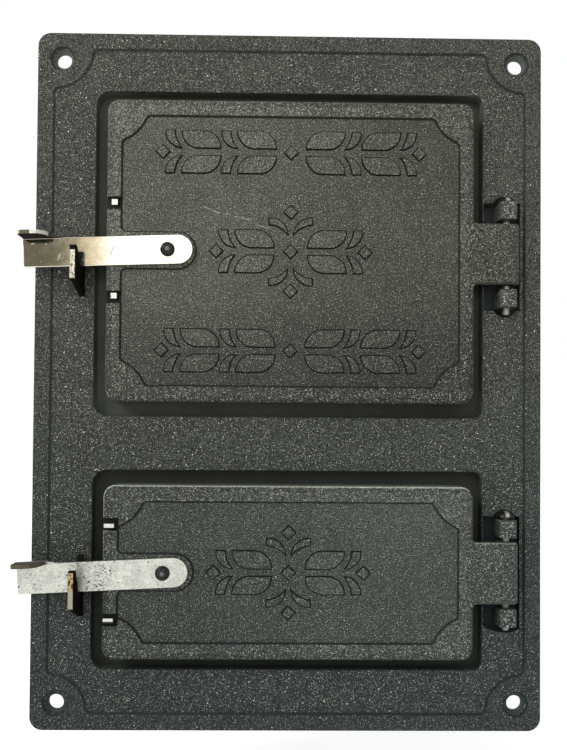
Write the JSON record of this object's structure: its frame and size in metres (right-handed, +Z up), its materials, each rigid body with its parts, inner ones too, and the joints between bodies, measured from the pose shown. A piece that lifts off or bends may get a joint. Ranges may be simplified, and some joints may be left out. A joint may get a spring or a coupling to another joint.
{
  "type": "double stove door",
  "caption": "Cast-iron wall frame with a fire door above an ash door, each hung on a headed pin and held shut by a pivoting steel lever in a hook.",
  "frame": {"origin": "centre of the four wall screws, on the frame's back face", "axes": "+Z up, along the frame's long side; -Y out of the wall, towards the viewer; +X to the right, towards the hinges"},
  "size_m": [0.3558, 0.0655, 0.48],
  "materials": {
    "frame_iron": "sand cast, black",
    "door_iron": "sand cast, black",
    "black_steel": "blackened",
    "lever_steel": "bare, worn bright",
    "keeper_steel": "bare, dull",
    "sheet_steel": "bare sheet"
  },
  "bodies": {
    "frame": {"frame": "frame_iron", "upper_hinge_pin": "black_steel", "lower_hinge_pin": "black_steel", "upper_keeper": "keeper_steel", "lower_keeper": "keeper_steel"},
    "upper_door": {"upper_door": "door_iron", "upper_latch_rivet": "black_steel", "upper_latch_washer": "lever_steel", "upper_heat_shield": "sheet_steel"},
    "lower_door": {"lower_door": "door_iron", "lower_latch_rivet": "black_steel", "lower_latch_washer": "lever_steel", "lower_heat_shield": "sheet_steel"},
    "upper_latch": {"upper_latch_lever": "lever_steel"},
    "lower_latch": {"lower_latch_lever": "lever_steel"}
  },
  "joints": [
    {"name": "upper_door_hinge", "type": "hinge", "parent": "frame", "child": "upper_door", "pos_m": [0.15, -0.0075, 0.0872], "axis": [0, 0, 1], "range_deg": [0, 120]},
    {"name": "lower_door_hinge", "type": "hinge", "parent": "frame", "child": "lower_door", "pos_m": [0.15, -0.0075, -0.1304], "axis": [0, 0, 1], "range_deg": [0, 120]},
    {"name": "upper_latch_pivot", "type": "hinge", "parent": "upper_door", "child": "upper_latch", "pos_m": [-0.0823, -0.0165, 0.0872], "axis": [0, 1, 0], "range_deg": [0, 75]},
    {"name": "lower_latch_pivot", "type": "hinge", "parent": "lower_door", "child": "lower_latch", "pos_m": [-0.0835, -0.0165, -0.1304], "axis": [0, 1, 0], "range_deg": [0, 75]}
  ]
}
